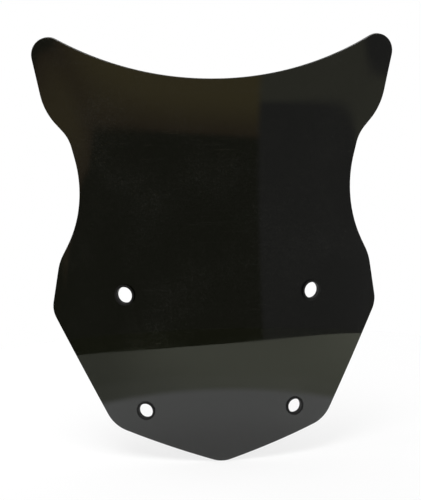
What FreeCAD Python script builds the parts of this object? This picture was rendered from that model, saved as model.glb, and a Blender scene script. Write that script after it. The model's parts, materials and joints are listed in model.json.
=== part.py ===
import FreeCAD, Part
import math
import os
import Sketcher

# Smoked windscreen of a touring motorcycle: one curved acrylic sheet, with a thin-lipped rubber
# grommet lining each of its four fixing holes.
#
# Frame, in millimetres: +Z runs up the straight centre line of the sheet, from the lower tip at
# Z = 0 to the two horns. The convex outer face looks along -Y, towards the road ahead, and Y = 0
# is midway through the depth of the curve. X = 0 is the plane of symmetry. Left and right are
# those of someone who stands in front of the motorcycle and looks at the screen: left is -X.

# Each driving dimension: its name in the sheet, its value and what it is.
DIMENSIONS = [
    # The sheet and its bend, as radii of the outer face in level cuts at four heights.
    ("sheet_thickness", 3.0, "thickness of the acrylic"),
    ("foot_bend", 215.0, "bend radius just below the tip"),
    ("lower_row_bend", 210.0, "bend radius at the lower holes"),
    ("upper_row_bend", 219.0, "bend radius at the upper holes"),
    ("crown_bend", 500.0, "bend radius above the horns, where the sheet flattens"),
    # Corners of the outline before rounding, each one's distance from the centre line.
    ("foot_corner_x", 92.5, "foot corner, where the V of the bottom meets the lower flank"),
    ("hip_x", 145.4, "hip, the widest place of the lower half"),
    ("flank_x", 136.9, "upper end of the hip, where the waist begins"),
    ("waist_x", 109.8, "waist, the narrowest place"),
    ("neck_x", 124.0, "neck, where the waist turns out to the shoulder"),
    ("shoulder_x", 144.6, "shoulder, where the outline turns up to the horn"),
    ("horn_x", 159.0, "horn, where the side meets the top edge"),
    # The same corners' heights, each above the one before it. The first is above the tip.
    ("foot_corner_rise", 28.2, "tip to foot corner"),
    ("hip_rise", 96.9, "foot corner to hip"),
    ("flank_rise", 44.3, "hip to flank"),
    ("waist_rise", 50.8, "flank to waist"),
    ("neck_rise", 57.1, "waist to neck"),
    ("shoulder_rise", 22.5, "neck to shoulder"),
    ("notch_rise", 25.1, "shoulder to the lowest point of the top edge"),
    # Radii of the outline.
    ("tip_round", 24.0, "radius of the lower tip"),
    ("foot_corner_round", 27.0, "radius at the foot corner"),
    ("hip_round", 21.0, "radius at the hip"),
    ("flank_round", 48.0, "radius at the flank"),
    ("waist_round", 106.0, "radius of the hollow of the waist"),
    ("neck_round", 32.0, "radius of the hollow at the neck"),
    ("shoulder_round", 51.0, "radius at the shoulder"),
    ("horn_round", 14.5, "radius of the horn"),
    ("notch_radius", 271.0, "radius of the hollow top edge"),
    # The fixing holes: two rows of two, measured on the outer face.
    ("lower_hole_x", 64.5, "lower holes, from the centre line"),
    ("lower_hole_z", 43.7, "lower holes, above the tip"),
    ("lower_hole_radius", 7.25, "radius of the lower holes in the acrylic"),
    ("upper_hole_x", 80.3, "upper holes, from the centre line"),
    ("hole_row_pitch", 100.5, "height of the upper holes above the lower ones"),
    ("upper_hole_radius", 8.0, "radius of the upper holes in the acrylic"),
    # The grommets.
    ("sleeve_wall", 0.9, "wall of the sleeve that lines the hole"),
    ("lip_width", 0.9, "how far a lip reaches past the edge of the hole"),
    ("lip_thickness", 0.8, "thickness of each lip"),
    ("lip_round", 0.35, "radius of the lip's outer rims"),
    ("hole_clearance", 0.1, "sleeve to acrylic, all round"),
    ("lip_clearance", 0.3, "lip to acrylic, at the hole's axis"),
    # Room for the shapes that only cut.
    ("cutting_margin", 15.0, "how far a cutting shape stands past what it cuts"),
]

CORNERS = ["foot_corner", "hip", "flank", "waist", "neck", "shoulder", "horn"]

os.makedirs("parts", exist_ok=True)
doc = FreeCAD.newDocument("windscreen")
sizes = doc.addObject("Spreadsheet::Sheet", "Sizes")
for line, (alias, value, meaning) in enumerate(DIMENSIONS, start=1):
    sizes.set(f"A{line}", meaning)
    sizes.set(f"B{line}", str(value))
    sizes.setAlias(f"B{line}", alias)
# Where the outer face's centre line lies is worked out below, from the depth of the bent sheet.
FRONT_CELL = f"B{len(DIMENSIONS) + 1}"
sizes.set(f"A{len(DIMENSIONS) + 1}", "Y of the outer face on the centre line")
sizes.set(FRONT_CELL, "0")
sizes.setAlias(FRONT_CELL, "front_y")
doc.recompute()


def size(alias):
    """Value of one driving dimension."""
    return float(sizes.get(alias))


def height_of(corner):
    """Height of a corner above the tip, as an expression: the rises up to it, added."""
    if corner == "horn":
        return f"{NOTCH_Z} + Sizes.notch_radius - sqrt(Sizes.notch_radius ^ 2 - Sizes.horn_x ^ 2)"
    below = CORNERS[: CORNERS.index(corner) + 1]
    return " + ".join(f"Sizes.{name}_rise" for name in below)


def value_of(expression):
    """Number that an expression of the sheet comes to."""
    return float(sizes.evalExpression(expression))


NOTCH_Z = height_of("shoulder") + " + Sizes.notch_rise"
LOWER_ROW_Z = "Sizes.lower_hole_z"
UPPER_ROW_Z = "Sizes.lower_hole_z + Sizes.hole_row_pitch"


def origin_plane(body, role):
    """One of the body's own origin planes."""
    for feature in body.Origin.OriginFeatures:
        if feature.Role == role:
            return feature


def new_sketch(body, name, role):
    """Empty sketch on one of the body's origin planes."""
    sketch = body.newObject("Sketcher::SketchObject", name)
    sketch.AttachmentSupport = [(origin_plane(body, role), "")]
    sketch.MapMode = "FlatFace"
    return sketch


def constrain(sketch, name, expression, *constraint):
    """Add a constraint with a size and bind it to the sheet."""
    index = sketch.addConstraint(Sketcher.Constraint(*constraint, value_of(expression)))
    sketch.renameConstraint(index, name)
    sketch.setExpression(f"Constraints.{name}", expression)


START, END, CENTRE = 1, 2, 3
ORIGIN = (-1, 1)
VERTICAL_AXIS = -2


def draw_outline(body):
    """Front outline of the sheet with its corners still sharp, except for the rounded tip."""
    sketch = new_sketch(body, "outline", "XZ_Plane")
    right = [FreeCAD.Vector(size(f"{name}_x"), value_of(height_of(name)), 0) for name in CORNERS]
    left = [FreeCAD.Vector(-point.x, point.y, 0) for point in right]
    tip_centre = FreeCAD.Vector(0, size("tip_round"), 0)
    slope = math.atan2(right[0].y, right[0].x)
    first_touch = FreeCAD.Vector(size("tip_round") * math.sin(slope),
                                 size("tip_round") * (1 - math.cos(slope)), 0)
    last_touch = FreeCAD.Vector(-first_touch.x, first_touch.y, 0)

    tip_circle = Part.Circle(tip_centre, FreeCAD.Vector(0, 0, 1), size("tip_round"))
    tip = sketch.addGeometry(Part.ArcOfCircle(tip_circle, -math.pi / 2 - slope, -math.pi / 2 + slope))
    sides = {}
    for side, points, touch in (("right", right, first_touch), ("left", left, last_touch)):
        ends = [touch] + points
        lines = [Part.LineSegment(a, b) for a, b in zip(ends, ends[1:])]
        sides[side] = [sketch.addGeometry(line) for line in lines]
        for lower, upper in zip(sides[side], sides[side][1:]):
            sketch.addConstraint(Sketcher.Constraint("Coincident", lower, END, upper, START))
    notch_circle = Part.Circle(FreeCAD.Vector(0, value_of(NOTCH_Z) + size("notch_radius"), 0),
                               FreeCAD.Vector(0, 0, 1), size("notch_radius"))
    spread = math.asin(size("horn_x") / size("notch_radius"))
    notch = sketch.addGeometry(Part.ArcOfCircle(notch_circle, -math.pi / 2 - spread,
                                                -math.pi / 2 + spread))

    for left_line, right_line in zip(sides["left"], sides["right"]):
        sketch.addConstraint(Sketcher.Constraint("Symmetric", left_line, END, right_line, END,
                                                 VERTICAL_AXIS))
    sketch.addConstraint(Sketcher.Constraint("Coincident", notch, START, sides["left"][-1], END))
    sketch.addConstraint(Sketcher.Constraint("Coincident", notch, END, sides["right"][-1], END))
    sketch.addConstraint(Sketcher.Constraint("Tangent", tip, END, sides["right"][0], START))
    sketch.addConstraint(Sketcher.Constraint("Tangent", tip, START, sides["left"][0], START))
    sketch.addConstraint(Sketcher.Constraint("PointOnObject", tip, CENTRE, VERTICAL_AXIS))
    constrain(sketch, "tip_round", "Sizes.tip_round", "Radius", tip)
    constrain(sketch, "tip_height", "Sizes.tip_round", "DistanceY", *ORIGIN, tip, CENTRE)
    constrain(sketch, "notch_radius", "Sizes.notch_radius", "Radius", notch)
    constrain(sketch, "notch_height", f"{NOTCH_Z} + Sizes.notch_radius",
              "DistanceY", *ORIGIN, notch, CENTRE)
    for name, line in zip(CORNERS, sides["right"]):
        constrain(sketch, f"{name}_x", f"Sizes.{name}_x", "DistanceX", *ORIGIN, line, END)
        if name != "horn":
            constrain(sketch, f"{name}_z", height_of(name), "DistanceY", *ORIGIN, line, END)
    return sketch


def corner_edges(shape, x, z):
    """Names of the edges that run along Y through a corner and its mirror image."""
    names = []
    for number, edge in enumerate(shape.Edges, start=1):
        first, last = edge.Vertexes[0].Point, edge.Vertexes[-1].Point
        along_y = math.hypot(first.x - last.x, first.z - last.z) < 1e-4
        if along_y and math.hypot(abs(first.x) - x, first.z - z) < 1e-3:
            names.append(f"Edge{number}")
    return names


def make_outline_prism():
    """Prism along Y with the sheet's front outline, every corner rounded to its own radius."""
    body = doc.addObject("PartDesign::Body", "outline_prism")
    prism = body.newObject("PartDesign::Pad", "outline_pad")
    prism.Profile = draw_outline(body)
    prism.Midplane = True
    prism.setExpression("Length", f"2 * ({height_of('hip')} + Sizes.cutting_margin)")
    doc.recompute()
    tip = prism
    for name in CORNERS:
        edges = corner_edges(tip.Shape, size(f"{name}_x"), value_of(height_of(name)))
        rounding = body.newObject("PartDesign::Fillet", f"{name}_rounding")
        rounding.Base = (tip, edges)
        rounding.setExpression("Radius", f"Sizes.{name}_round")
        doc.recompute()
        tip = rounding
    return body


HALF_CHORD = "max(Sizes.horn_x; Sizes.hip_x)"


def make_bend(name, bend, height):
    """Level arc of the outer face, centred behind it."""
    arc = doc.addObject("Part::Circle", name)
    half_angle = f"asin({HALF_CHORD} / Sizes.{bend})"
    arc.setExpression("Radius", f"Sizes.{bend}")
    arc.setExpression("Angle1", f"270 deg - {half_angle}")
    arc.setExpression("Angle2", f"270 deg + {half_angle}")
    arc.setExpression("Placement.Base.y", f"Sizes.front_y + Sizes.{bend}")
    arc.setExpression("Placement.Base.z", height)
    return arc


def make_outer_face():
    """Outer face, larger than the sheet: a smooth surface through four level arcs."""
    face = doc.addObject("Part::Loft", "outer_face")
    face.Sections = [
        make_bend("foot_arc", "foot_bend", "-Sizes.cutting_margin"),
        make_bend("lower_row_arc", "lower_row_bend", LOWER_ROW_Z),
        make_bend("upper_row_arc", "upper_row_bend", UPPER_ROW_Z),
        make_bend("crown_arc", "crown_bend", height_of("horn")),
    ]
    face.Solid = False
    return face


def make_bent_sheet(outer_face, outline_prism):
    """The outer face cut to the outline, then thickened inwards, so its edge is square to it."""
    trimmed = doc.addObject("Part::Common", "trimmed_face")
    trimmed.Base = outer_face
    trimmed.Tool = outline_prism
    bent = doc.addObject("Part::Offset", "bent_sheet")
    bent.Source = trimmed
    bent.setExpression("Value", "-Sizes.sheet_thickness")
    bent.Fill = True
    bent.Join = "Intersection"
    doc.recompute()
    return bent


# How finely the sheet is divided to find its depth.
DEPTH_TOLERANCE = 0.02


def centre_depth(bent):
    """Move the outer face so that Y = 0 is midway through the depth of the bent sheet."""
    points, _ = bent.Shape.tessellate(DEPTH_TOLERANCE)
    depths = [point.y for point in points]
    sizes.set(FRONT_CELL, str(-(min(depths) + max(depths)) / 2))
    doc.recompute()


def make_blank(bent):
    """The bent sheet as one solid, because thickening a face leaves a closed shell."""
    blank = doc.addObject("Part::Feature", "blank")
    blank.Shape = Part.Solid(bent.Shape.Shells[0])
    return blank


# Each hole: the side it is on, as the sign of its X, and its row.
HOLES = {
    "upper_left": (-1, "upper", UPPER_ROW_Z),
    "upper_right": (1, "upper", UPPER_ROW_Z),
    "lower_left": (-1, "lower", LOWER_ROW_Z),
    "lower_right": (1, "lower", LOWER_ROW_Z),
}


def make_rim(outer_face, hole):
    """Rim of a hole: a circle on the plane that touches the outer face at the hole's centre."""
    side, row, height = HOLES[hole]
    across = f"Sizes.{row}_hole_x"
    bend = f"Sizes.{row}_row_bend"
    centre = doc.addObject("Part::Vertex", f"{hole}_centre")
    centre.setExpression("X", f"{side} * {across}")
    centre.setExpression("Y", f"Sizes.front_y + {bend} - sqrt({bend} ^ 2 - {across} ^ 2)")
    centre.setExpression("Z", height)
    rim = doc.addObject("Part::Circle", f"{hole}_rim")
    rim.setExpression("Radius", f"Sizes.{row}_hole_radius")
    doc.recompute()
    rim.AttachmentSupport = [(outer_face, "Face1"), (centre, "Vertex1")]
    rim.MapMode = "TangentPlane"
    doc.recompute()
    return rim


def make_drill(rim, hole):
    """Cylinder that cuts a hole through the sheet, square to the outer face."""
    drill = doc.addObject("Part::Extrusion", f"{hole}_drill")
    drill.Base = rim
    drill.DirMode = "Normal"
    drill.Solid = True
    drill.setExpression("LengthFwd", "Sizes.cutting_margin")
    drill.setExpression("LengthRev", "Sizes.sheet_thickness + Sizes.cutting_margin")
    return drill


def make_screen_panel(blank, drills):
    """The acrylic sheet: the bent blank with its four holes drilled."""
    drill_set = doc.addObject("Part::Compound", "drills")
    drill_set.Links = drills
    panel = doc.addObject("Part::Cut", "screen_panel")
    panel.Base = blank
    panel.Tool = drill_set
    doc.recompute()
    return panel


def draw_grommet(body, row):
    """Half section of a grommet in the XZ plane, X from the hole's axis, Z = 0 on the acrylic."""
    sketch = new_sketch(body, "half_section", "XZ_Plane")
    sleeve = f"Sizes.{row}_hole_radius - Sizes.hole_clearance"
    bore = f"{sleeve} - Sizes.sleeve_wall"
    lip = f"Sizes.{row}_hole_radius + Sizes.lip_width"
    outer_seat = "Sizes.lip_clearance"
    inner_seat = "-Sizes.sheet_thickness - Sizes.lip_clearance"
    outer_end = f"{outer_seat} + Sizes.lip_thickness"
    inner_end = f"{inner_seat} - Sizes.lip_thickness"
    corners = [
        (bore, inner_end), (lip, inner_end), (lip, inner_seat), (sleeve, inner_seat),
        (sleeve, outer_seat), (lip, outer_seat), (lip, outer_end), (bore, outer_end),
    ]
    points = [FreeCAD.Vector(value_of(x), value_of(z), 0) for x, z in corners]
    lines = [sketch.addGeometry(Part.LineSegment(a, b))
             for a, b in zip(points, points[1:] + points[:1])]
    for line, following in zip(lines, lines[1:] + lines[:1]):
        sketch.addConstraint(Sketcher.Constraint("Coincident", line, END, following, START))
    for number, (line, (x, z)) in enumerate(zip(lines, corners)):
        constrain(sketch, f"radius_{number}", x, "DistanceX", *ORIGIN, line, START)
        constrain(sketch, f"height_{number}", z, "DistanceY", *ORIGIN, line, START)
    return sketch


def lip_rims(shape):
    """Names of the four outermost circular edges, two on each lip."""
    circles = {f"Edge{number}": edge.Curve.Radius for number, edge in enumerate(shape.Edges, start=1)
               if isinstance(edge.Curve, Part.Circle)}
    widest = max(circles.values())
    return [name for name, radius in circles.items() if radius > widest - 1e-6]


def make_grommet(rim, hole):
    """Rubber sleeve through a hole, with a thin lip over each face of the acrylic."""
    body = doc.addObject("PartDesign::Body", f"grommet_{hole}")
    turned = body.newObject("PartDesign::Revolution", "turned")
    turned.Profile = draw_grommet(body, HOLES[hole][1])
    turned.ReferenceAxis = (origin_plane(body, "Z_Axis"), [""])
    turned.Angle = 360
    doc.recompute()
    rounding = body.newObject("PartDesign::Fillet", "lip_rounding")
    rounding.Base = (turned, lip_rims(turned.Shape))
    rounding.setExpression("Radius", "Sizes.lip_round")
    body.setExpression("Placement", f"{rim.Name}.Placement")
    doc.recompute()
    return body


outer_face = make_outer_face()
bent_sheet = make_bent_sheet(outer_face, make_outline_prism())
centre_depth(bent_sheet)
rims = {hole: make_rim(outer_face, hole) for hole in HOLES}
drills = [make_drill(rim, hole) for hole, rim in rims.items()]
sub_parts = [make_screen_panel(make_blank(bent_sheet), drills)]
sub_parts += [make_grommet(rim, hole) for hole, rim in rims.items()]
doc.recompute()

for thing in doc.Objects:
    if "Invalid" in thing.State or "Error" in thing.State:
        raise RuntimeError(f"{thing.Name} failed: {thing.State}")
for part in sub_parts:
    solid_count = len(part.Shape.Solids)
    if part.Shape.isNull() or not part.Shape.isValid() or solid_count != 1:
        raise RuntimeError(f"{part.Label} isn't one valid solid")
for part in sub_parts:
    part.Shape.exportStep(f"parts/{part.Label}.step")
    box = part.Shape.optimalBoundingBox(True, False)
    print(f"{part.Label}: {part.Shape.Volume:.1f} mm3, X {box.XMin:.2f} to {box.XMax:.2f}, "
          f"Y {box.YMin:.2f} to {box.YMax:.2f}, Z {box.ZMin:.2f} to {box.ZMax:.2f}")
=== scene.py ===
import json
import math

import bpy
import numpy as np
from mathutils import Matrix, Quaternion, Vector
from mathutils.geometry import delaunay_2d_cdt


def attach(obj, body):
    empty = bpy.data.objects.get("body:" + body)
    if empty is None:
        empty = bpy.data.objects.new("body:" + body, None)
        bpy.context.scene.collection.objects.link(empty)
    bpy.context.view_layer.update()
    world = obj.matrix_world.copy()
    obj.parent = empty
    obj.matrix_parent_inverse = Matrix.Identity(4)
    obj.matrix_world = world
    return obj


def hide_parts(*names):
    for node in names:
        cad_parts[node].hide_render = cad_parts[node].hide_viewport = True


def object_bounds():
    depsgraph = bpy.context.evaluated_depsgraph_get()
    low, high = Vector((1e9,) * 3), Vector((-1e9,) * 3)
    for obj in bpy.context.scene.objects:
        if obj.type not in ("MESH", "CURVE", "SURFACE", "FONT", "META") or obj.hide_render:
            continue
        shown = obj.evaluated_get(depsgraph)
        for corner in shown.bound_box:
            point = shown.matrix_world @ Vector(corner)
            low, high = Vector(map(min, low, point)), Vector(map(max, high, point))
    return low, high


# A smoked windscreen of a touring motorcycle, in metres. +Z runs up the sheet from its tip, the
# convex outer face looks along -Y, and X = 0 is the plane of symmetry.
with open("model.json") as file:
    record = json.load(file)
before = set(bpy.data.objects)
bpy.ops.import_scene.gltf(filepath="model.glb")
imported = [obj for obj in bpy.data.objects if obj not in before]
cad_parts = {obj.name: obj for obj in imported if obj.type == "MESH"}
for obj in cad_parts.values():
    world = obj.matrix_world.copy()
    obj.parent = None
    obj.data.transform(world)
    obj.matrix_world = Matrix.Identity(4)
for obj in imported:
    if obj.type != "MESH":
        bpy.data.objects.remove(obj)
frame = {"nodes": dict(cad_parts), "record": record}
cad_low, cad_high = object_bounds()


# ---------------------------------------------------------------------------------------------
# The screen is one sheet of dark smoked acrylic, routed to its outline, then softened in an oven
# and laid over a former that bends it. The edges and the four drilled holes are eased to a small
# round and flame polished, and both faces keep the gloss of the cast sheet.

SHEET_THICKNESS = 0.003
EDGE_EASING = 0.0007
EDGE_SPACING = 0.0016
FACE_SPACING = 0.003
RIM_CLEARANCE = 0.6 * FACE_SPACING
ARC_STEPS = 48
NOTCH_STEPS = 96
EASING_STEPS = 7
HOLE_STEPS = 72
# Corners of the front outline before rounding: half width, height above the tip, radius.
OUTLINE_CORNERS = [
    (0.0925, 0.0282, 0.027),  # foot corner
    (0.1454, 0.1251, 0.021),  # hip
    (0.1369, 0.1694, 0.048),  # flank
    (0.1098, 0.2202, 0.106),  # waist
    (0.1240, 0.2773, 0.032),  # neck
    (0.1446, 0.2998, 0.051),  # shoulder
]
TIP_RADIUS = 0.024
HORN_HALF_WIDTH = 0.159
HORN_RADIUS = 0.0145
NOTCH_RADIUS = 0.271
NOTCH_LOWEST = 0.3249
# Radius of each drilled hole, by the row that it is in.
HOLE_RADIUS = {"upper": 0.008, "lower": 0.00725}


def unit(vectors):
    """The vectors, each divided by its own length."""
    return vectors / np.linalg.norm(vectors, axis=-1, keepdims=True)


def arc_between(centre, radius, start, end, steps=ARC_STEPS):
    """Points of the shorter arc of a circle from the direction of start to that of end."""
    first = math.atan2(*(start - centre)[::-1])
    sweep = math.atan2(*(end - centre)[::-1]) - first
    sweep = (sweep + math.pi) % (2 * math.pi) - math.pi
    angle = first + sweep * np.linspace(0, 1, steps)
    return centre + radius * np.stack([np.cos(angle), np.sin(angle)], 1)


def rounded_corner(before, corner, after, radius, steps=ARC_STEPS):
    """Arc that touches both sides of a corner: its centre is on the line that halves the corner,
    radius / sin(half angle) away from it."""
    back, ahead = unit(before - corner), unit(after - corner)
    half_angle = math.acos(np.clip(back @ ahead, -1, 1)) / 2
    reach = radius / math.tan(half_angle)
    centre = corner + unit(back + ahead) * radius / math.sin(half_angle)
    return arc_between(centre, radius, corner + back * reach, corner + ahead * reach, steps)


def evenly_spaced(path, spacing):
    """Closed path with its points moved to equal steps along its own length."""
    closed = np.vstack([path, path[:1]])
    length = np.append(0, np.cumsum(np.linalg.norm(np.diff(closed, axis=0), axis=1)))
    count = 2 * round(length[-1] / spacing / 2)
    wanted = np.arange(count) * length[-1] / count
    return np.stack([np.interp(wanted, length, closed[:, i]) for i in range(2)], 1)


def sheet_outline():
    """Front outline as a closed path in X and Z: a rounded tip, six rounded corners up each side,
    a rounded horn, and a hollow arc between the horns. The horn's circle touches the last side
    from within and the hollow arc from outside, which gives a quadratic for its centre."""
    corners = [np.array(corner[:2]) for corner in OUTLINE_CORNERS]
    radii = [corner[2] for corner in OUTLINE_CORNERS]
    tip_centre = np.array([0, TIP_RADIUS])
    to_corner = corners[0] - tip_centre
    touch_angle = math.atan2(*to_corner[::-1]) - math.acos(TIP_RADIUS / np.linalg.norm(to_corner))
    touch = tip_centre + TIP_RADIUS * np.array([math.cos(touch_angle), math.sin(touch_angle)])
    notch_centre = np.array([0, NOTCH_LOWEST + NOTCH_RADIUS])
    horn = np.array([HORN_HALF_WIDTH,
                     notch_centre[1] - math.sqrt(NOTCH_RADIUS ** 2 - HORN_HALF_WIDTH ** 2)])
    up = unit(horn - corners[-1])
    inward = np.array([-up[1], up[0]])
    start = horn + inward * HORN_RADIUS - notch_centre
    along = start @ up
    shift = -along - math.sqrt(along ** 2 - start @ start + (NOTCH_RADIUS + HORN_RADIUS) ** 2)
    horn_centre = notch_centre + start + up * shift
    notch_touch = notch_centre + (horn_centre - notch_centre) * NOTCH_RADIUS / (
        NOTCH_RADIUS + HORN_RADIUS)
    stops = [touch] + corners + [horn]
    right = [arc_between(tip_centre, TIP_RADIUS, np.zeros(2), touch)]
    right += [rounded_corner(*stops[i:i + 3], radii[i]) for i in range(len(corners))]
    horn_touch = horn_centre - inward * HORN_RADIUS
    notch_middle = np.array([0, NOTCH_LOWEST])
    right += [arc_between(horn_centre, HORN_RADIUS, horn_touch, notch_touch)]
    right += [arc_between(notch_centre, NOTCH_RADIUS, notch_touch, notch_middle, NOTCH_STEPS)]
    right = np.vstack(right)
    left = right[-2:0:-1] * [-1, 1]
    return evenly_spaced(np.vstack([right, left]), EDGE_SPACING)


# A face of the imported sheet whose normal's y is below this is on the outer side.
FACING_FRONT = -0.5
CLEAR_OF_MIDDLE = 0.04
BEND_DEGREE = 5


def packed_bend():
    """Bend of the outer face, one over the radius of its level cuts, as a polynomial of height.
    A point d behind the front line and x beside it is on a circle of bend 2 d / (d² + x²). Points
    near the middle are left out, because d is too small there."""
    mesh = frame["nodes"]["screen_panel"].data
    points = np.empty(len(mesh.vertices) * 3)
    mesh.vertices.foreach_get("co", points)
    points = points.reshape(-1, 3)
    facing = np.empty(len(mesh.polygons) * 3)
    mesh.polygons.foreach_get("normal", facing)
    corners = np.empty(len(mesh.loops), int)
    mesh.loops.foreach_get("vertex_index", corners)
    outer = np.unique(corners.reshape(-1, 3)[facing.reshape(-1, 3)[:, 1] < FACING_FRONT])
    x, y, z = points[outer][np.abs(points[outer, 0]) > CLEAR_OF_MIDDLE].T
    front = points[:, 1].min()
    depth = y - front
    return front, np.polyfit(z, 2 * depth / (depth ** 2 + x ** 2), BEND_DEGREE)


FRONT_Y, BEND = packed_bend()


def outer_face(x, z):
    """Points of the outer face at x and z: level circles that touch the front line, so
    y = front + (1 - sqrt(1 - (bend x)²)) / bend."""
    bend = np.polyval(BEND, z)
    return np.stack([x, FRONT_Y + (1 - np.sqrt(1 - (bend * x) ** 2)) / bend, z], -1)


def outer_normal(x, z):
    """Unit normals of the outer face, away from the sheet: the slopes of y in x and z, with -1
    in y, over their length."""
    bend = np.polyval(BEND, z)
    root = np.sqrt(1 - (bend * x) ** 2)
    rise = (x ** 2 / root - (1 - root) / bend ** 2) * np.polyval(np.polyder(BEND), z)
    return unit(np.stack([bend * x / root, -np.ones_like(x), rise], -1))


def eased_rim(edge, outward, inward_depth, normal):
    """Rows of points and normals of a rim carried round a closed edge. Each row is the edge moved
    along a section of two quarter circles with a flat between them: it leaves one face, turns
    square to it, and turns back on to the other face."""
    quarter = np.linspace(0, math.pi / 2, EASING_STEPS)
    turn = np.concatenate([quarter, quarter + math.pi / 2])
    middle = np.repeat([EDGE_EASING, SHEET_THICKNESS - EDGE_EASING], EASING_STEPS)
    inset = (EDGE_EASING - EDGE_EASING * np.sin(turn))[:, None, None]
    depth = (middle - EDGE_EASING * np.cos(turn))[:, None, None]
    rows = edge - inset * outward + depth * inward_depth
    normals = np.sin(turn)[:, None, None] * outward + np.cos(turn)[:, None, None] * normal
    return rows, unit(normals)


def outline_rim():
    """Rim of the outer edge: outward is square to the edge and to the face's normal."""
    x, z = sheet_outline().T
    edge, normal = outer_face(x, z), outer_normal(x, z)
    along = np.roll(edge, -1, axis=0) - np.roll(edge, 1, axis=0)
    return eased_rim(edge, unit(np.cross(along, normal)), -normal, normal)


class Hole:
    """One fixing hole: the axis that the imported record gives, two directions across it, and its
    seat, where the axis leaves the outer face: half the thickness out from the hole's middle."""

    def __init__(self, mount):
        self.name = mount["name"].removesuffix("_bore")
        self.radius = HOLE_RADIUS[self.name.split("_")[0]]
        self.axis = unit(np.array(mount["axis"]))
        self.across = unit(np.cross([0, 0, 1], self.axis))
        self.up = np.cross(self.axis, self.across)
        self.seat = np.array(mount["pos_m"]) + self.axis * SHEET_THICKNESS / 2


HOLES = [Hole(mount) for mount in frame["record"]["mounts"]]
SLIDES = 4


def hole_rim(hole):
    """Rim of a hole: a circle about its axis, slid along the axis on to the outer face. Each
    slide is the gap along the face's normal over the cosine between that normal and the axis."""
    angle = np.arange(HOLE_STEPS) * 2 * math.pi / HOLE_STEPS
    spoke = np.cos(angle)[:, None] * hole.across + np.sin(angle)[:, None] * hole.up
    edge = hole.seat + hole.radius * spoke
    for _ in range(SLIDES):
        normal = outer_normal(edge[:, 0], edge[:, 2])
        gap = outer_face(edge[:, 0], edge[:, 2]) - edge
        slide = (gap * normal).sum(1) / (normal @ hole.axis)
        edge = edge + slide[:, None] * hole.axis
    normal = outer_normal(edge[:, 0], edge[:, 2])
    outward = unit((normal * spoke).sum(1)[:, None] * normal - spoke)
    return eased_rim(edge, outward, -hole.axis / (normal @ hole.axis)[:, None], normal)


def inside(points, loop):
    """Which points a closed loop surrounds: a ray from each crosses it an odd number of times."""
    (x, z), (xa, za) = points.T[:, :, None], loop.T[:, None, :]
    xb, zb = np.roll(xa, -1), np.roll(za, -1)
    crosses = (za > z) != (zb > z)
    with np.errstate(divide="ignore", invalid="ignore"):
        crosses &= x < (xb - xa) * (z - za) / (zb - za) + xa
    return crosses.sum(1) % 2 == 1


def face_points(loops):
    """A grid of points on the face, clear of the rims, in X and Z: alternate rows are shifted by
    half a step, so that the triangles between them are even."""
    rows = np.arange(0, cad_high.z, FACE_SPACING * math.sqrt(0.75))
    reach = math.ceil(HORN_HALF_WIDTH / FACE_SPACING)
    columns = np.arange(-reach, reach + 1) * FACE_SPACING
    shift = (np.arange(len(rows)) % 2 - 0.5) * FACE_SPACING / 2
    grid = np.stack([columns[None, :] + shift[:, None],
                     np.repeat(rows[:, None], len(columns), axis=1)], -1).reshape(-1, 2)
    grid = grid[inside(grid, loops[0])]
    rims = np.vstack(loops)
    apart = (grid[:, None, 0] - rims[:, 0]) ** 2 + (grid[:, None, 1] - rims[:, 1]) ** 2
    keep = apart.min(1) > RIM_CLEARANCE ** 2
    for loop in loops[1:]:
        keep &= ~inside(grid, loop)
    return grid[keep]


def strip_triangles(rows, count):
    """Triangles between neighbouring rows of points round closed loops."""
    row, step = np.meshgrid(np.arange(rows - 1), np.arange(count), indexing="ij")
    a, b = row * count + step, row * count + (step + 1) % count
    return np.concatenate([np.stack([a, b, b + count], -1).reshape(-1, 3),
                           np.stack([a, b + count, a + count], -1).reshape(-1, 3)])


def facing_out(triangles, points, normals):
    """The triangles, with those that are wound against their points' normals turned round."""
    a, b, c = (points[triangles[:, i]] for i in range(3))
    wrong = (np.cross(b - a, c - a) * normals[triangles].sum(1)).sum(1) < 0
    triangles[wrong] = triangles[wrong][:, ::-1]
    return triangles


def mesh_object(name, points, faces):
    """Object at the origin, in the scene, with a mesh of the points and faces."""
    mesh = bpy.data.meshes.new(name)
    mesh.from_pydata(points.tolist(), [], faces.tolist())
    piece = bpy.data.objects.new(name, mesh)
    bpy.context.scene.collection.objects.link(piece)
    return piece


def new_piece(name, points, triangles, normals):
    """Smooth mesh object, shaded by the normals of its formula."""
    piece = mesh_object(name, points, facing_out(triangles, points, normals))
    piece.data.polygons.foreach_set("use_smooth", np.ones(len(triangles), bool))
    piece.data.normals_split_custom_set_from_vertices(normals.tolist())
    return piece


# The faces are triangulated inside the outline only, and no two points of them are merged.
TRIANGLES_INSIDE = 1
MERGE_DISTANCE = 1e-9


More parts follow.
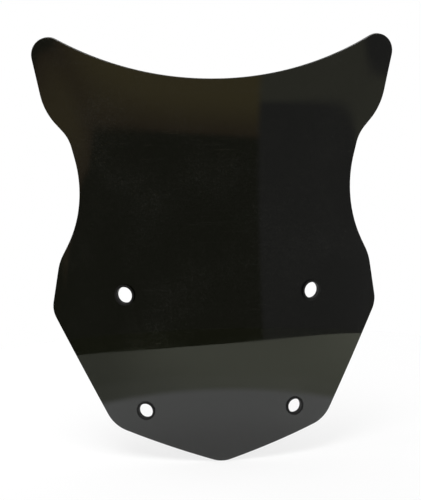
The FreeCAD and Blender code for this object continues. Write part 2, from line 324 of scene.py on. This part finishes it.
def make_sheet():
    """The bent sheet: both faces filled with even triangles between the rims' first and last
    rows. The inner face is the outer one moved in by the thickness along its normals."""
    rims = [outline_rim()] + [hole_rim(hole) for hole in HOLES]
    loops = [rows[0][:, [0, 2]] for rows, _ in rims]
    grid = face_points(loops)
    flat = np.vstack(loops + [grid])
    starts = np.cumsum([0] + [len(loop) for loop in loops])
    rings = [first + np.arange(len(loop)) for first, loop in zip(starts, loops)]
    edges = np.vstack([np.stack([ring, np.roll(ring, -1)], 1) for ring in rings])
    found = delaunay_2d_cdt(flat.tolist(), edges.tolist(), [], TRIANGLES_INSIDE, MERGE_DISTANCE)
    if len(found[0]) != len(flat):
        raise RuntimeError("the face's points were merged or split")
    triangles = np.array(found[2])
    for loop in loops[1:]:
        triangles = triangles[~inside(flat[triangles].mean(1), loop)]
    x, z = grid.T
    grid_outer, grid_normal = outer_face(x, z), outer_normal(x, z)
    outer = np.vstack([rows[0] for rows, _ in rims] + [grid_outer])
    inner = np.vstack([rows[-1] for rows, _ in rims] + [grid_outer - SHEET_THICKNESS * grid_normal])
    outer_normals = np.vstack([normals[0] for _, normals in rims] + [grid_normal])
    points, normals = [outer, inner], [outer_normals, -outer_normals]
    faces = [triangles, triangles + len(outer)]
    rim_share = [np.zeros(2 * len(outer))]
    for number, (rows, row_normals) in enumerate(rims):
        first, count = sum(map(len, points)), rows.shape[1]
        strip = strip_triangles(len(rows), count)
        ids = first + np.arange(rows.shape[0] * count) - count
        ids[:count] = starts[number] + np.arange(count)
        ids[-count:] = len(outer) + starts[number] + np.arange(count)
        faces.append(ids[strip])
        points.append(rows[1:-1].reshape(-1, 3))
        normals.append(row_normals[1:-1].reshape(-1, 3))
        rim_share.append(np.ones((len(rows) - 2) * count))
    sheet = new_piece("smoked_sheet", np.vstack(points), np.vstack(faces), np.vstack(normals))
    share = sheet.data.attributes.new("rim", "FLOAT", "POINT")
    share.data.foreach_set("value", np.concatenate(rim_share).astype(np.float32))
    return sheet


def new_material(name):
    """Empty node material: its tree, and a Principled BSDF joined to its output."""
    material = bpy.data.materials.new(name)
    material.use_nodes = True
    tree = material.node_tree
    return material, tree, tree.nodes["Principled BSDF"]


def add_node(tree, kind, links=None, **settings):
    """Node with its properties and unlinked values set, and links made to its named inputs."""
    node = tree.nodes.new(kind)
    for key, value in settings.items():
        setattr(node, key, value)
    for key, value in (links or {}).items():
        if isinstance(value, bpy.types.NodeSocket):
            tree.links.new(value, node.inputs[key])
        else:
            node.inputs[key].default_value = value
    return node


def math_node(tree, operation, *values):
    """Result of one step of arithmetic on values or sockets."""
    return add_node(tree, "ShaderNodeMath", dict(enumerate(values)), operation=operation).outputs[0]


def mixed_colour(tree, share, first, second):
    """The first colour where share is nought and the second where it is one."""
    return add_node(tree, "ShaderNodeMix", {"Factor": share, 6: first, 7: second},
                    data_type="RGBA").outputs[2]


def new_effect(name, inputs):
    """Node group that takes the place and the given numbers, and puts out one mask."""
    group = bpy.data.node_groups.new(name, "ShaderNodeTree")
    group.interface.new_socket("Place", in_out="INPUT", socket_type="NodeSocketVector")
    for label, value in inputs.items():
        socket = group.interface.new_socket(label, in_out="INPUT", socket_type="NodeSocketFloat")
        socket.default_value = value
    group.interface.new_socket("Mask", in_out="OUTPUT", socket_type="NodeSocketFloat")
    return group, group.nodes.new("NodeGroupInput"), group.nodes.new("NodeGroupOutput")


DRIFT_SHARE = 0.35


def settled_dust():
    """Fine dust: specks where a fine noise passes a level that a coarse noise raises and lowers,
    so that they gather in drifts."""
    group, given, out = new_effect("settled_dust", {"Grain": 900.0, "Amount": 0.5})
    drift = add_node(group, "ShaderNodeTexNoise",
                     {"Vector": given.outputs["Place"], "Scale": 14.0, "Detail": 3.0})
    speck = add_node(group, "ShaderNodeTexNoise",
                     {"Vector": given.outputs["Place"], "Scale": given.outputs["Grain"],
                      "Detail": 2.0, "Roughness": 0.7})
    both = math_node(group, "MULTIPLY_ADD", drift.outputs["Fac"], DRIFT_SHARE, speck.outputs["Fac"])
    level = add_node(group, "ShaderNodeMapRange",
                     {"Value": both, "From Min": 0.80, "From Max": 0.90})
    share = math_node(group, "MULTIPLY", level.outputs[0], given.outputs["Amount"])
    group.links.new(share, out.inputs["Mask"])
    return group


# Each direction of wiping: its turn about Y, and the level above which its crests show.
WIPES = ((0.35, 0.70), (-0.75, 0.72), (1.35, 0.73))
WIPE_STRETCH = (0.012, 0.3, 1.0)
CREST_WIDTH = 0.05


def hairlines():
    """Hairline marks of wiping: a noise stretched a hundredfold along one direction, of which
    only the crests show, in three directions that cross."""
    group, given, out = new_effect("hairlines", {"Fineness": 700.0, "Amount": 0.5})
    found = None
    for tilt, level in WIPES:
        turned = add_node(group, "ShaderNodeMapping",
                          {"Vector": given.outputs["Place"], "Rotation": (0.0, tilt, 0.1),
                           "Scale": WIPE_STRETCH})
        noise = add_node(group, "ShaderNodeTexNoise",
                         {"Vector": turned.outputs[0], "Scale": given.outputs["Fineness"],
                          "Detail": 1.5})
        crest = add_node(group, "ShaderNodeMapRange",
                         {"Value": noise.outputs["Fac"], "From Min": level,
                          "From Max": level + CREST_WIDTH}).outputs[0]
        found = crest if found is None else math_node(group, "MAXIMUM", found, crest)
    share = math_node(group, "MULTIPLY", found, given.outputs["Amount"])
    group.links.new(share, out.inputs["Mask"])
    return group


SETTLED_DUST, HAIRLINES = settled_dust(), hairlines()


def place_effect(tree, effect, place, **values):
    """An effect's node in a material, reading the object's own coordinates."""
    node = add_node(tree, "ShaderNodeGroup")
    node.node_tree = effect
    tree.links.new(place, node.inputs["Place"])
    for label, value in values.items():
        node.inputs[label].default_value = value
    return node.outputs["Mask"]


# Share of white light that comes through both faces of the dark tint, which leans to olive, and
# the paler share where dust or a hairline scatters it.
SMOKE = (0.0060, 0.0061, 0.0049, 1.0)
MARKED_SMOKE = (0.085, 0.083, 0.078, 1.0)
ACRYLIC_IOR = 1.49
DUST_DULLING = 0.4
RIM_DULLING = 0.10


def smoked_acrylic():
    """Dark clear plastic: light is refracted, dimmed by the tint, and mirrored at both faces. The
    gloss is broken by smears, hairlines and dust, the rims are a little duller than the faces, and
    the face rolls by a few hundredths of a millimetre where the softened sheet settled."""
    material, tree, surface = new_material("smoked_acrylic")
    place = add_node(tree, "ShaderNodeTexCoord").outputs["Object"]
    rim = add_node(tree, "ShaderNodeAttribute", attribute_name="rim").outputs["Fac"]
    smear = add_node(tree, "ShaderNodeTexNoise",
                     {"Vector": place, "Scale": 11.0, "Detail": 4.0, "Distortion": 0.6})
    gloss = add_node(tree, "ShaderNodeMapRange",
                     {"Value": smear.outputs["Fac"], "From Min": 0.3, "From Max": 0.75,
                      "To Min": 0.012, "To Max": 0.05})
    dust = place_effect(tree, SETTLED_DUST, place, Grain=1400.0, Amount=0.5)
    lines = place_effect(tree, HAIRLINES, place, Fineness=900.0, Amount=0.10)
    rougher = math_node(tree, "MULTIPLY_ADD", dust, DUST_DULLING, gloss.outputs[0])
    rougher = math_node(tree, "ADD", lines, rougher)
    rougher = math_node(tree, "MULTIPLY_ADD", rim, RIM_DULLING, rougher)
    tree.links.new(rougher, surface.inputs["Roughness"])
    marks = math_node(tree, "MAXIMUM", lines, dust)
    tree.links.new(mixed_colour(tree, marks, SMOKE, MARKED_SMOKE), surface.inputs["Base Color"])
    roll = add_node(tree, "ShaderNodeTexNoise", {"Vector": place, "Scale": 9.0, "Detail": 1.0})
    bump = add_node(tree, "ShaderNodeBump",
                    {"Height": roll.outputs["Fac"], "Distance": 0.00012, "Strength": 1.0})
    tree.links.new(bump.outputs[0], surface.inputs["Normal"])
    surface.inputs["IOR"].default_value = ACRYLIC_IOR
    surface.inputs["Transmission Weight"].default_value = 1.0
    return material


sheet = make_sheet()
sheet.data.materials.append(smoked_acrylic())
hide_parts("screen_panel")
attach(sheet, "root")


# ---------------------------------------------------------------------------------------------
# Each of the four holes is lined with a grommet of soft black rubber, moulded in one piece: a
# sleeve, and a thin lip that folds over each face and follows its bend. It is pushed in by hand.

SLEEVE_CLEARANCE = 0.0001
SLEEVE_WALL = 0.0009
LIP_REACH = 0.0009
LIP_THICKNESS = 0.0008
LIP_GAP = 0.00012
# Radius and steps of a lip's rounded corners: mouth of the bore, rim above, rim below, root.
LIP_RADII = [0.00045, 0.00038, 0.00018, 0.00005]
LIP_STEPS = [8, 7, 5, 3]
GROMMET_STEPS = 120


def grommet_section(hole_radius):
    """Closed half section, as radius and height above the outer face: a sleeve with a lip at each
    end. Every corner is rounded to its own radius."""
    sleeve = hole_radius - SLEEVE_CLEARANCE
    bore = sleeve - SLEEVE_WALL
    lip = hole_radius + LIP_REACH
    top, under = LIP_GAP + LIP_THICKNESS, LIP_GAP
    low_under, bottom = -SHEET_THICKNESS - under, -SHEET_THICKNESS - top
    corners = np.array([(bore, bottom), (lip, bottom), (lip, low_under), (sleeve, low_under),
                        (sleeve, under), (lip, under), (lip, top), (bore, top)])
    radii = LIP_RADII + LIP_RADII[::-1]
    steps = LIP_STEPS + LIP_STEPS[::-1]
    before, after = np.roll(corners, 1, axis=0), np.roll(corners, -1, axis=0)
    return np.vstack([rounded_corner(*corner)
                      for corner in zip(before, corners, after, radii, steps)])


def make_grommet(hole):
    """The section turned about the hole's axis. Each point is let down by half the bend times the
    square of its distance to the side, so that the lips lie along the bent faces."""
    radius, height = grommet_section(hole.radius).T
    angle = np.arange(GROMMET_STEPS) * 2 * math.pi / GROMMET_STEPS
    side = radius[:, None] * np.cos(angle)
    rise = radius[:, None] * np.sin(angle)
    level = height[:, None] - np.polyval(BEND, hole.seat[2]) * side ** 2 / 2
    points = (hole.seat + side[..., None] * hole.across + rise[..., None] * hole.up
              + level[..., None] * hole.axis)
    along = np.roll(points, -1, axis=0) - np.roll(points, 1, axis=0)
    around = np.roll(points, -1, axis=1) - np.roll(points, 1, axis=1)
    normals = unit(np.cross(around, along)).reshape(-1, 3)
    ring = strip_triangles(len(radius) + 1, GROMMET_STEPS) % (len(radius) * GROMMET_STEPS)
    return new_piece(f"rubber_grommet_{hole.name}", points.reshape(-1, 3), ring, normals)


RUBBER = (0.006, 0.006, 0.0065, 1.0)
RUBBER_BLOOM = (0.018, 0.018, 0.018, 1.0)


def black_rubber():
    """Moulded rubber: matt, faintly pebbled, and greyed in patches by bloom and by dust."""
    material, tree, surface = new_material("black_rubber")
    place = add_node(tree, "ShaderNodeTexCoord").outputs["Object"]
    bloom = add_node(tree, "ShaderNodeTexNoise", {"Vector": place, "Scale": 160.0, "Detail": 3.0})
    dust = place_effect(tree, SETTLED_DUST, place, Grain=2600.0, Amount=0.6)
    patch = add_node(tree, "ShaderNodeMapRange",
                     {"Value": bloom.outputs["Fac"], "From Min": 0.45, "From Max": 0.8,
                      "To Max": 0.5})
    grey = math_node(tree, "ADD", patch.outputs[0], dust)
    tree.links.new(mixed_colour(tree, grey, RUBBER, RUBBER_BLOOM), surface.inputs["Base Color"])
    rough = add_node(tree, "ShaderNodeMapRange",
                     {"Value": bloom.outputs["Fac"], "From Min": 0.3, "From Max": 0.7,
                      "To Min": 0.50, "To Max": 0.68})
    tree.links.new(rough.outputs[0], surface.inputs["Roughness"])
    pebble = add_node(tree, "ShaderNodeTexNoise", {"Vector": place, "Scale": 4200.0, "Detail": 2.0})
    bump = add_node(tree, "ShaderNodeBump",
                    {"Height": pebble.outputs["Fac"], "Distance": 0.00004, "Strength": 0.6})
    tree.links.new(bump.outputs[0], surface.inputs["Normal"])
    surface.inputs["Specular IOR Level"].default_value = 0.18
    return material


rubber = black_rubber()
for hole in HOLES:
    grommet = make_grommet(hole)
    grommet.data.materials.append(rubber)
    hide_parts(f"grommet_{hole.name}")
    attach(grommet, "root")


# ---------------------------------------------------------------------------------------------
# The studio: a round white table top under the tip of the screen, white all round, soft lamps
# overhead and behind, and a dark card in front that glows for the gloss only and paints reflections
# of a room behind the viewer into the sheet.

WHITE = (1.0, 1.0, 1.0, 1.0)
TABLE_RADIUS = 0.4935
TABLE_CENTRE = (0.0358, 0.0189)
TABLE_STEPS = 128
TABLE_PAINT = (0.88, 0.88, 0.88, 1.0)
TABLE_GLOW = 0.70
# Painted reflection: what the gloss sees of the table in place of its white, a round middle,
# brighter away from the tip, then a rim.
PAINTED_REFLECTION_NEAR_TIP = (1.12, 1.13, 1.14, 1.0)
PAINTED_REFLECTION_AWAY_FROM_TIP = (1.42, 1.46, 1.46, 1.0)
PAINTED_REFLECTION_RIM_BESIDE = (0.24, 0.27, 0.14, 1.0)
PAINTED_REFLECTION_RIM_BEFORE = (0.90, 0.96, 0.69, 1.0)
# Where each change between them starts and ends, in metres.
MIDDLE_BRIGHTENS = (0.06, 0.20)
MIDDLE_ENDS = (0.245, 0.275)
RIM_BRIGHTENS = (-0.10, 0.42)


def seen_or_mirrored(tree):
    """One where the camera, a mirror image or clear plastic sees the surface, and else nought."""
    path = add_node(tree, "ShaderNodeLightPath").outputs
    seen = math_node(tree, "MAXIMUM", path["Is Camera Ray"], path["Is Glossy Ray"])
    return math_node(tree, "MAXIMUM", seen, path["Is Transmission Ray"])


def smooth_step(tree, value, low, high):
    """Nought at low, one at high, and smooth between."""
    return add_node(tree, "ShaderNodeMapRange",
                    {"Value": value, "From Min": low, "From Max": high},
                    interpolation_type="SMOOTHSTEP").outputs[0]


def white_table_and_painted_reflection():
    """Matt white: part is its own paint, which keeps the shadow, and part is plain white. Where the
    gloss of the sheet mirrors it, it shows a painted reflection instead: a middle that brightens
    away from the tip, and a rim that is dim beside the screen and brightens before and behind it,
    with |y| + x / 2."""
    material, tree, surface = new_material("white_table_and_painted_reflection")
    surface.inputs["Base Color"].default_value = TABLE_PAINT
    surface.inputs["Roughness"].default_value = 0.8
    surface.inputs["Specular IOR Level"].default_value = 0.0
    place = add_node(tree, "ShaderNodeTexCoord").outputs["Object"]
    from_tip = add_node(tree, "ShaderNodeVectorMath", {0: place},
                        operation="LENGTH").outputs["Value"]
    axes = add_node(tree, "ShaderNodeSeparateXYZ", {"Vector": place}).outputs
    before = math_node(tree, "MULTIPLY_ADD", axes["X"], 0.5,
                       math_node(tree, "ABSOLUTE", axes["Y"]))
    rim = mixed_colour(tree, smooth_step(tree, before, *RIM_BRIGHTENS), PAINTED_REFLECTION_RIM_BESIDE, PAINTED_REFLECTION_RIM_BEFORE)
    middle = mixed_colour(tree, smooth_step(tree, from_tip, *MIDDLE_BRIGHTENS),
                          PAINTED_REFLECTION_NEAR_TIP, PAINTED_REFLECTION_AWAY_FROM_TIP)
    # Painted reflection: glossy rays see these colours instead of the table's white.
    mirrored = mixed_colour(tree, smooth_step(tree, from_tip, *MIDDLE_ENDS), middle, rim)
    glossy = add_node(tree, "ShaderNodeLightPath").outputs["Is Glossy Ray"]
    shown = mixed_colour(tree, glossy, WHITE, mirrored)
    white = add_node(tree, "ShaderNodeEmission", {"Color": shown, "Strength": 1.0})
    share = math_node(tree, "MULTIPLY", seen_or_mirrored(tree), TABLE_GLOW)
    both = add_node(tree, "ShaderNodeMixShader",
                    {0: share, 1: surface.outputs[0], 2: white.outputs[0]})
    tree.links.new(both.outputs[0], tree.nodes["Material Output"].inputs["Surface"])
    return material


def stage_piece(name, points, faces, material):
    """Mesh of the studio, which isn't part of the object."""
    piece = mesh_object(name, points, faces)
    piece.data.materials.append(material)
    return piece


def level_circle(centre, radius, height, steps):
    """Points of a level circle: the centre plus the radius times the cosine and the sine."""
    angle = np.linspace(0, 2 * math.pi, steps, endpoint=False)
    return np.stack([centre[0] + radius * np.cos(angle), centre[1] + radius * np.sin(angle),
                     np.full(steps, height)], 1)


stage_piece("table_top", level_circle(TABLE_CENTRE, TABLE_RADIUS, 0.0, TABLE_STEPS),
            np.arange(TABLE_STEPS)[None, :], white_table_and_painted_reflection())

# The card is an upright cylinder round the screen, and only the gloss shows it: it glows with
# painted reflections for the sheet. Its heights, depths and distances aside are in the screen's own
# X, Y and Z.
CARD_RADIUS = 1.5
CARD_CENTRE = (0.0, 0.7)
CARD_BOTTOM, CARD_TOP = -1.6, 1.4
CARD_STEPS = 128
CARD_BLACK = (0.018, 0.020, 0.0, 1.0)
CARD_WARM_LOW = (0.17, 0.10, 0.05, 1.0)
CARD_WARM_HIGH = (0.47, 0.37, 0.14, 1.0)
CARD_DARK_GREY = (0.12, 0.12, 0.13, 1.0)
CARD_LIGHT_GREY = (0.33, 0.33, 0.25, 1.0)
CARD_FALL = 0.574
CARD_LEAN = 0.27
CARD_LIFT = 0.025
# Where each change on the card starts and ends, in metres.
FRONT_STARTS = (-0.15, -0.35)
FAR_LEFT_STARTS = (-0.62, -0.80)
WARM_BRIGHTENS = (-0.215, -0.14)
LEFT_LEVEL = (-0.209, -0.197)
RIGHT_LEVEL = (-0.157, -0.146)
RIGHT_STARTS = (0.345, 0.40)
RIGHT_ENDS = (0.35, 0.0)
SIDES_WHITEN = (0.60, 0.10)


def measured_along(tree, place, direction):
    """How far the place is along a direction: the sum of the products of their parts."""
    return add_node(tree, "ShaderNodeVectorMath", {0: place, 1: direction},
                    operation="DOT_PRODUCT").outputs["Value"]


def painted_reflection_card_material():
    """Painted reflection, which glows for the gloss only. In front the card is black below and dim
    and warm above, and to the right dark grey below and light grey above. Its two sides are white.
    Below meets above at a level that falls with the depth and is a little lower at the far left,
    and the line to the right leans."""
    material, tree, _ = new_material("painted_reflection_card")
    place = add_node(tree, "ShaderNodeTexCoord").outputs["Object"]
    depth = measured_along(tree, place, (0.0, 1.0, 0.0))
    aside = measured_along(tree, place, (1.0, 0.0, CARD_LEAN))
    climb = measured_along(tree, place, (0.0, CARD_FALL, 1.0))
    climb = math_node(tree, "MULTIPLY_ADD", smooth_step(tree, aside, *FAR_LEFT_STARTS),
                      CARD_LIFT, climb)
    in_front = smooth_step(tree, depth, *FRONT_STARTS)
    warm = mixed_colour(tree, smooth_step(tree, climb, *WARM_BRIGHTENS),
                        CARD_WARM_LOW, CARD_WARM_HIGH)
    above = math_node(tree, "MULTIPLY", in_front, smooth_step(tree, climb, *LEFT_LEVEL))
    left = mixed_colour(tree, above, CARD_BLACK, warm)
    above = math_node(tree, "MULTIPLY", in_front, smooth_step(tree, climb, *RIGHT_LEVEL))
    right = mixed_colour(tree, above, CARD_DARK_GREY, CARD_LIGHT_GREY)
    to_right = math_node(tree, "MULTIPLY", smooth_step(tree, aside, *RIGHT_STARTS),
                         smooth_step(tree, depth, *RIGHT_ENDS))
    from_side = math_node(tree, "ABSOLUTE", math_node(tree, "SUBTRACT", depth, CARD_CENTRE[1]))
    colour = mixed_colour(tree, smooth_step(tree, from_side, *SIDES_WHITEN),
                          mixed_colour(tree, to_right, left, right), WHITE)
    # The painted reflection glows at these colours, seen only by glossy rays.
    light = add_node(tree, "ShaderNodeEmission", {"Color": colour, "Strength": 1.0})
    tree.links.new(light.outputs[0], tree.nodes["Material Output"].inputs["Surface"])
    return material


card_points = np.vstack([level_circle(CARD_CENTRE, CARD_RADIUS, height, CARD_STEPS)
                         for height in (CARD_BOTTOM, CARD_TOP)])
foot = np.stack([np.arange(CARD_STEPS), (np.arange(CARD_STEPS) + 1) % CARD_STEPS], 1)
card_faces = np.hstack([foot, foot[:, ::-1] + CARD_STEPS])
card = stage_piece("painted_reflection_card", card_points, card_faces, painted_reflection_card_material())
card.visible_camera = False
card.visible_diffuse = False
card.visible_transmission = False
card.visible_shadow = False

# The room lights the screen at a plain grey level, and is white where it is seen or mirrored.
ROOM_GREY = (0.6, 0.6, 0.6, 1.0)
world = bpy.data.worlds.new("white_room")
world.use_nodes = True
bpy.context.scene.world = world
room = world.node_tree
room_level = mixed_colour(room, seen_or_mirrored(room), ROOM_GREY, WHITE)
room.links.new(room_level, room.nodes["Background"].inputs["Color"])
room.nodes["Background"].inputs["Strength"].default_value = 1.0


SCREEN_MIDDLE = Vector((0.0, 0.0, 0.18))


def soft_lamp(name, place, width, height, power):
    """Area lamp at a place, turned towards the middle of the screen."""
    data = bpy.data.lights.new(name, "AREA")
    data.shape = "RECTANGLE"
    data.size, data.size_y, data.energy = width, height, power
    lamp = bpy.data.objects.new(name, data)
    bpy.context.scene.collection.objects.link(lamp)
    lamp.location = place
    lamp.visible_camera = False
    lamp.visible_transmission = False
    lamp.rotation_mode = "QUATERNION"
    lamp.rotation_quaternion = (SCREEN_MIDDLE - Vector(place)).to_track_quat("-Z", "Y")


soft_lamp("lamp_overhead", (-0.5, -0.6, 2.2), width=1.6, height=1.6, power=34.0)
soft_lamp("lamp_behind_left", (-1.25, 1.05, 0.45), width=0.45, height=1.6, power=7.0)
soft_lamp("lamp_behind_right", (1.35, 0.9, 0.35), width=0.35, height=1.5, power=4.5)

# The camera looks slightly down on the screen from just left of its centre line.
AIM = Vector((-0.005402, 0.0, 0.179230))
AZIMUTH, ELEVATION, ROLL = math.radians(-3.697), math.radians(7.904), math.radians(-0.917)
DISTANCE = 0.92637
camera_data = bpy.data.cameras.new("camera")
camera_data.lens = 77.26
camera_data.sensor_width = 36.0
camera = bpy.data.objects.new("camera", camera_data)
bpy.context.scene.collection.objects.link(camera)
backward = Vector((math.sin(AZIMUTH) * math.cos(ELEVATION),
                   -math.cos(AZIMUTH) * math.cos(ELEVATION), math.sin(ELEVATION)))
camera.location = AIM + backward * DISTANCE
camera.rotation_mode = "QUATERNION"
camera.rotation_quaternion = (-backward).to_track_quat("-Z", "Y") @ Quaternion((0, 0, 1), ROLL)
bpy.context.scene.camera = camera
bpy.context.scene.view_settings.view_transform = "Standard"
